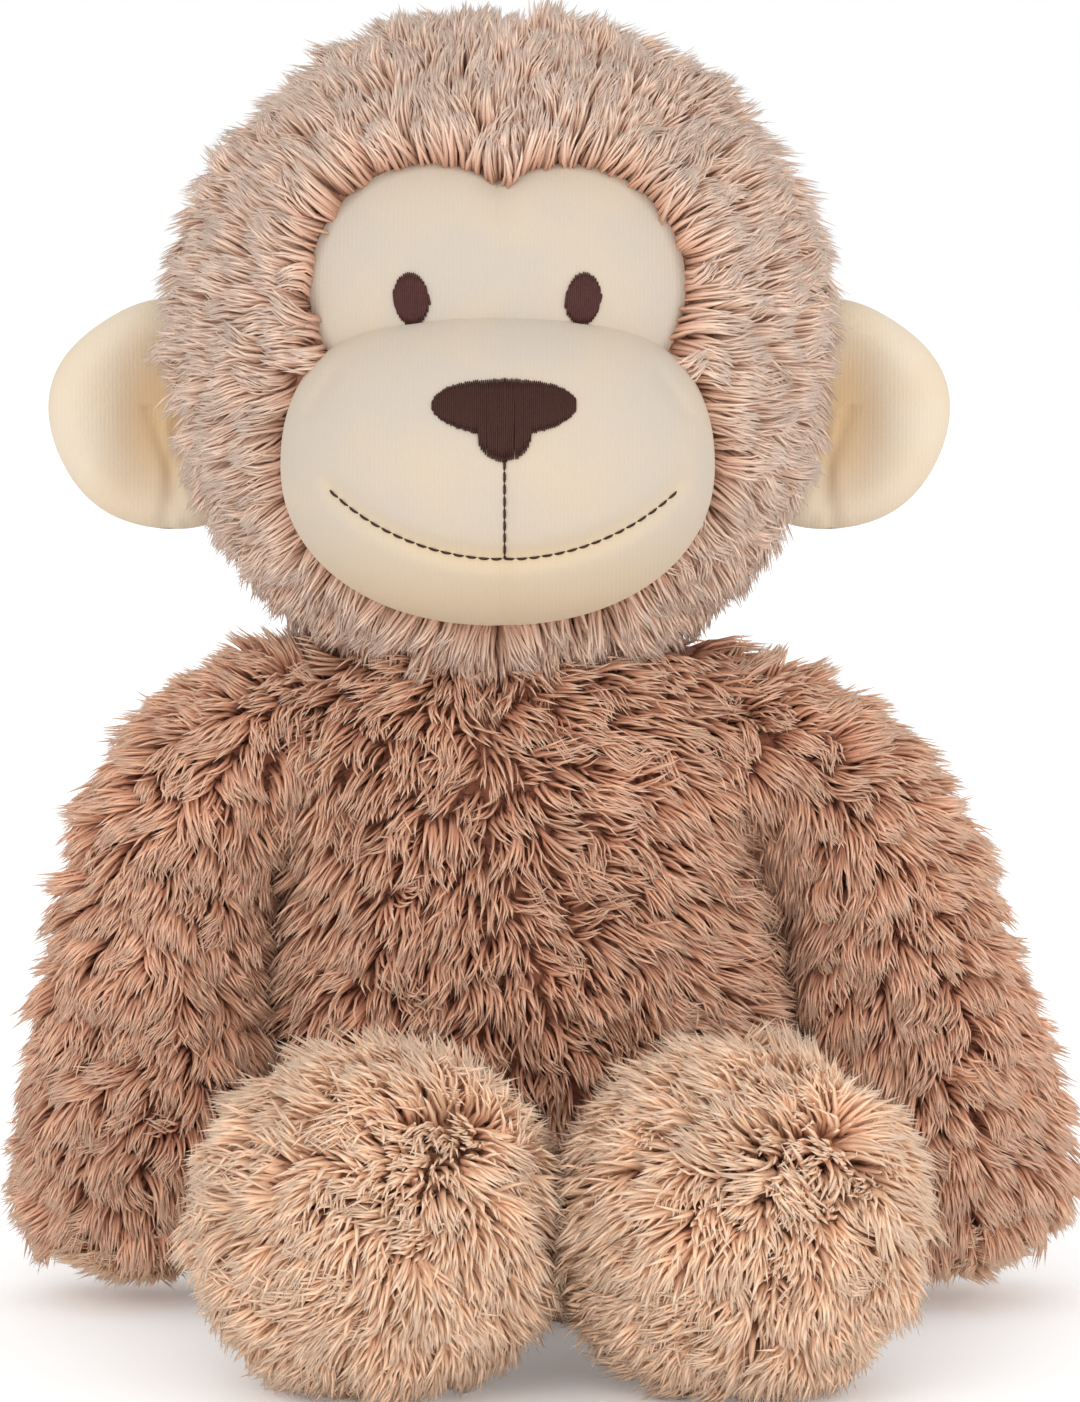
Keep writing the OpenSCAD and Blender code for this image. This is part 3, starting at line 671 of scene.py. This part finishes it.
torso_backing = round_form("torso_backing", 128, 96, torso_shape)
torso_backing.data.materials.append(body_cloth)
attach(torso_backing, "torso")
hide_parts("torso_stuffing", "bean_pouch")


def torso_flow(p):
    middle = np.column_stack([p[:, 2] * math.sin(LEAN), 0 * p[:, 0], p[:, 2]])
    out = (p - middle) / np.array([58 * MM, 46 * MM, 1])
    return out * np.array([1.2, 0.6, 0]) + np.array([0.4, 0, -0.75]) + 0.35 * np.column_stack([swirl(p, 5, 0.05), 0 * p[:, 0], swirl(p, 6, 0.06)])


def above_seat(p):
    return (p[:, 2] > 2 * MM) & (p[:, 2] < 143.5 * MM)


piece = fur("torso_fur_front", torso_backing, 12300, torso_flow, body_fur, 31, keep=lambda p: (p[:, 1] < 2 * MM) & above_seat(p), length=12.8, wild=0.7, lock=5.2, clump=0.72, wide=1.4, curl=1.8, mess=0.42)
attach(piece, "torso")
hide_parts("torso_front")
for side, word in ((1, "left"), (-1, "right")):
    piece = fur(f"torso_fur_back_{word}", torso_backing, 5300, torso_flow, body_fur, 33 + side, rings=2, length=12.8, wild=0.7, lock=5.2, clump=0.72, wide=1.4, curl=1.8, mess=0.42,
        keep=lambda p: (p[:, 1] >= 2 * MM) & ((p[:, 0] - p[:, 2] * math.sin(LEAN)) * side > 0) & above_seat(p))
    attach(piece, "torso")
    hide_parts(f"torso_back_{word}")

# The seat panel is the same fur, pressed flat by the toy's weight
bpy.ops.mesh.primitive_cylinder_add(vertices=96, radius=1, depth=1, location=(0, 0, 0))
seat = bpy.context.object
seat.name = "seat_panel_fur"
set_points(seat, points_of(seat) * np.array([42, 28, 2.4]) * MM + np.array([0, 8, 1.6]) * MM)
soften = seat.modifiers.new("soften", "BEVEL")
soften.width, soften.segments = 1.0 * MM, 4
bpy.ops.object.modifier_apply(modifier="soften")
bpy.ops.object.shade_smooth()
# It wears the backing knit, whose darker colour is painted shade
seat.data.materials.append(body_cloth)
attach(seat, "torso")
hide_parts("seat_panel")

# The back seam is closed by hand with tan thread under the pile
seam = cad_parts["closing_seam"]
seam_thread = rayon_thread("tan_sewing_thread", "#7c5744", "#a07a64")
seam.data.materials.clear()
seam.data.materials.append(seam_thread)

# ---- Neck ----
# A short stuffed tube of the body's fur joins torso and head.

NECK = np.array([-13, 0, 141]) * MM
neck = round_form("neck_backing", 64, 48, lambda p: p * 26 * MM * np.array([1, 1, 0.8]) + NECK)
neck.data.materials.append(body_cloth)
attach(neck, "neck")
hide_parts("neck_stuffing")
piece = fur("neck_fur", neck, 2200, lambda p: (p - NECK) * np.array([1, 1, 0]) + np.array([0, 0, -0.02]), body_fur, 37, rings=2, length=9,
    keep=lambda p: np.abs(p[:, 2] - NECK[2]) < 14 * MM)
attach(piece, "neck")
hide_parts("neck_tube")

# ---- Arms ----
# Long limp tubes of the body's fur, lightly stuffed and heavier towards the hand. They hang from the shoulder
# seams down to the ground, and end in a palm of the paler fur.

palm_fur = faux_fur("peach_faux_fur", "#dba683", "#e6b796", "#f0c9a9", "#f8dec6")
palm_cloth = backing_cloth("peach_backing_knit", "#c08c68", "#d6a684")


def sleeve(name, path, radii, sides=48, steps=40, squash=1.0):
    """A tube of changing radius along a smooth path, closed with round ends"""
    path, radii = np.array(path, float), np.array(radii, float)
    t = np.linspace(0, len(path) - 1, steps)
    i = np.clip(t.astype(int), 0, len(path) - 2)
    f = (t - i)[:, None]
    p0, p1, p2, p3 = path[np.maximum(i - 1, 0)], path[i], path[i + 1], path[np.minimum(i + 2, len(path) - 1)]
    line = 0.5 * (2 * p1 + (p2 - p0) * f + (2 * p0 - 5 * p1 + 4 * p2 - p3) * f**2 + (3 * p1 - p0 - 3 * p2 + p3) * f**3)
    wide = np.interp(t, np.arange(len(path)), radii)
    along = unit(np.gradient(line, axis=0))
    cap = np.linspace(0, math.pi / 2, 10)[1:-1]
    line = np.concatenate([line[0] - along[0] * wide[0] * np.sin(cap[::-1])[:, None], line, line[-1] + along[-1] * wide[-1] * np.sin(cap)[:, None]])
    wide = np.concatenate([wide[0] * np.cos(cap[::-1]), wide, wide[-1] * np.cos(cap)])
    along = np.concatenate([np.repeat(along[:1], 8, 0), along, np.repeat(along[-1:], 8, 0)])
    u = unit(np.cross(along, np.array([0.02, 1, 0.01])))
    v = np.cross(along, u)
    a = np.linspace(0, math.tau, sides, endpoint=False)
    rings = line[:, None] + wide[:, None, None] * (np.cos(a)[None, :, None] * u[:, None] + squash * np.sin(a)[None, :, None] * v[:, None])
    n = len(line)
    verts = np.concatenate([rings.reshape(-1, 3), (line[0] - along[0] * wide[0] * 0.1)[None], (line[-1] + along[-1] * wide[-1] * 0.1)[None]])
    faces = [(r * sides + k, r * sides + (k + 1) % sides, (r + 1) * sides + (k + 1) % sides, (r + 1) * sides + k) for r in range(n - 1) for k in range(sides)]
    faces += [((k + 1) % sides, k, n * sides) for k in range(sides)] + [((n - 1) * sides + k, (n - 1) * sides + (k + 1) % sides, n * sides + 1) for k in range(sides)]
    mesh = bpy.data.meshes.new(name)
    mesh.from_pydata(verts.tolist(), [], faces)
    obj = bpy.data.objects.new(name, mesh)
    bpy.context.collection.objects.link(obj)
    bpy.ops.object.select_all(action="DESELECT")
    bpy.context.view_layer.objects.active = obj
    obj.select_set(True)
    bpy.ops.object.mode_set(mode="EDIT")
    bpy.ops.mesh.select_all(action="SELECT")
    bpy.ops.mesh.normals_make_consistent(inside=False)
    bpy.ops.object.mode_set(mode="OBJECT")
    bpy.ops.object.shade_smooth()
    return obj


ARM_PATH = np.array([[0, 0, 0], [9, 0, -6.5], [17, 0, -17], [21.5, 0, -31], [24.5, 0, -50], [27.5, 0, -73], [30, 0, -95.4]]) * MM
ARM_RADII = np.array([16.5, 16.8, 17.2, 18, 19.3, 20.6, 20.8]) * MM
PALM_EDGE = -107.4 * MM

for side, word, shoulder, splay in ((1, "left", (43.5, 0, 119.5), 8), (-1, "right", (-64.5, 0, 123.5), 0)):
    shoulder = np.array(shoulder) * MM
    turn = np.array(Euler((math.radians(-5), math.radians(-side * splay), 0)).to_matrix())

    def placed(p):
        return (p * np.array([side, 1, 1])) @ turn.T + shoulder

    def local(p):
        return ((p - shoulder) @ turn) * np.array([side, 1, 1])

    def arm_flow(p):
        q = local(p)
        middle = np.column_stack([np.interp(-q[:, 2], -ARM_PATH[:, 2], ARM_PATH[:, 0]), 0 * q[:, 0], q[:, 2]])
        out = (q - middle) / (22 * MM)
        top = np.clip((q[:, 2] + 4 * MM) / (14 * MM), 0, 1)[:, None]
        lean = out * np.array([0.8, 0.5, 0]) + np.array([0.22, 0, -1.0]) + top * np.array([1.6, 0, 0.4])
        return (lean * np.array([side, 1, 1])) @ turn.T

    arm = sleeve(f"arm_{word}_backing", placed(ARM_PATH), ARM_RADII)
    arm.data.materials.append(body_cloth)
    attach(arm, f"arm_{word}")
    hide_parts(f"arm_stuffing_{word}")
    for front, where in ((True, "front"), (False, "back")):
        piece = fur(f"arm_{word}_fur_{where}", arm, 9400 if front else 5500, arm_flow, body_fur, 41 + side + 5 * front, rings=3 if front else 2, length=12.4, wild=0.6, lock=5.2, clump=0.72, wide=1.4, curl=1.8, mess=0.36,
            keep=lambda p: ((local(p)[:, 1] < 0) == front) & (local(p)[:, 2] > PALM_EDGE))
        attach(piece, f"arm_{word}")
        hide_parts(f"arm_{where}_{word}")
    piece = fur(f"palm_{word}_fur", arm, 2000, lambda p: (p - placed(ARM_PATH[-1:])) * np.array([1, 1, 0]) + 1e-5, palm_fur, 51 + side, rings=2, length=9, wild=0.8,
        keep=lambda p: local(p)[:, 2] <= PALM_EDGE)
    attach(piece, f"arm_{word}")
    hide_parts(f"palm_{word}")

# ---- Legs and feet ----
# Short stuffed legs of the body's fur point forwards from the seat, and each ends in a big round foot of peach
# fur with a longer, more tangled pile.

foot_fur = faux_fur("long_peach_faux_fur", "#dba683", "#e6b796", "#f0c9a9", "#f8dec6")
for side, word in ((1, "left"), (-1, "right")):
    hip = np.array([-1 + side * 27.5, -33, 23]) * MM
    ankle = np.array([-1 + side * 33.75, -78, 27]) * MM
    leg = sleeve(f"leg_{word}_backing", [hip, (hip + ankle) / 2, ankle], np.array([17, 15.5, 13]) * MM)
    leg.data.materials.append(body_cloth)
    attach(leg, f"leg_{word}")
    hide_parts(f"leg_stuffing_{word}")
    for top, where in ((True, "top"), (False, "bottom")):
        piece = fur(f"leg_{word}_fur_{where}", leg, 2600 if top else 2000, lambda p: (p - (hip + ankle) / 2) * np.array([0.6, 0, 0.2]) / (20 * MM) + np.array([0, -0.9, -0.3]),
            body_fur, 61 + side + 5 * top, rings=2, length=11, lock=4.8, keep=lambda p: (p[:, 2] > 0.023 + (0.033 + p[:, 1]) * -0.09) == top)
        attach(piece, f"leg_{word}")
        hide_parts(f"leg_{where}_{word}")

    centre = np.array([-1 + side * 37.5, -105, 35.5]) * MM
    foot = round_form(f"foot_{word}_backing", 96, 64, lambda p: p * np.array([31.5, 30.5, 30.5]) * MM + centre)
    foot.data.materials.append(palm_cloth)
    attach(foot, f"foot_{word}")
    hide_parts(f"foot_stuffing_{word}")

    def foot_flow(p):
        q = (p - centre) / (31 * MM)
        loose = [swirl(p, 90 + 3 * side + k, 0.022) for k in range(3)]
        return q * np.array([0.9, 0.1, 0.9]) + np.array([-0.45, -0.1, -0.6]) + 0.3 * np.column_stack(loose)

    for sole, where in ((True, "sole"), (False, "top")):
        piece = fur(f"foot_{word}_fur_{where}", foot, 7400 if sole else 4900, foot_flow, foot_fur, 71 + side + 5 * sole, rings=3 if sole else 2,
            keep=lambda p: (p[:, 1] < centre[1]) == sole, length=12.5, rise=(30, 66), wild=0.7, lock=5.0, clump=0.56, wide=1.8, curl=2.6, mess=0.6)
        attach(piece, f"foot_{word}")
        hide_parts(f"foot_{where}_{word}")

# ---- Tail ----
# A thin stuffed tube of the body's fur, sewn into the back seam low down, that curls round on the ground behind.

TAIL = np.array([[0, 43, 20], [0, 56, 13.5], [0, 66, 11], [-10, 91, 10.5], [-34, 102, 10.5], [-59, 94, 10.5]]) * MM
tail = sleeve("tail_backing", TAIL, np.array([6, 6, 6, 6, 6, 6]) * MM, sides=32, steps=60)
tail.data.materials.append(body_cloth)
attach(tail, "tail")
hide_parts("tail_stuffing")
TAIL_LINE = np.diff(TAIL, axis=0)


def tail_flow(p):
    near = ((p[:, None] - (TAIL[:-1] + TAIL[1:])[None] / 2) ** 2).sum(axis=2).argmin(axis=1)
    return unit(TAIL_LINE[near]) + np.array([0, 0, -0.1])


piece = fur("tail_fur", tail, 5200, tail_flow, body_fur, 81, rings=2, length=8.5, rise=(32, 66), lock=3.8)
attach(piece, "tail")
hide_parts("tail_casing")

bpy.context.view_layer.update()
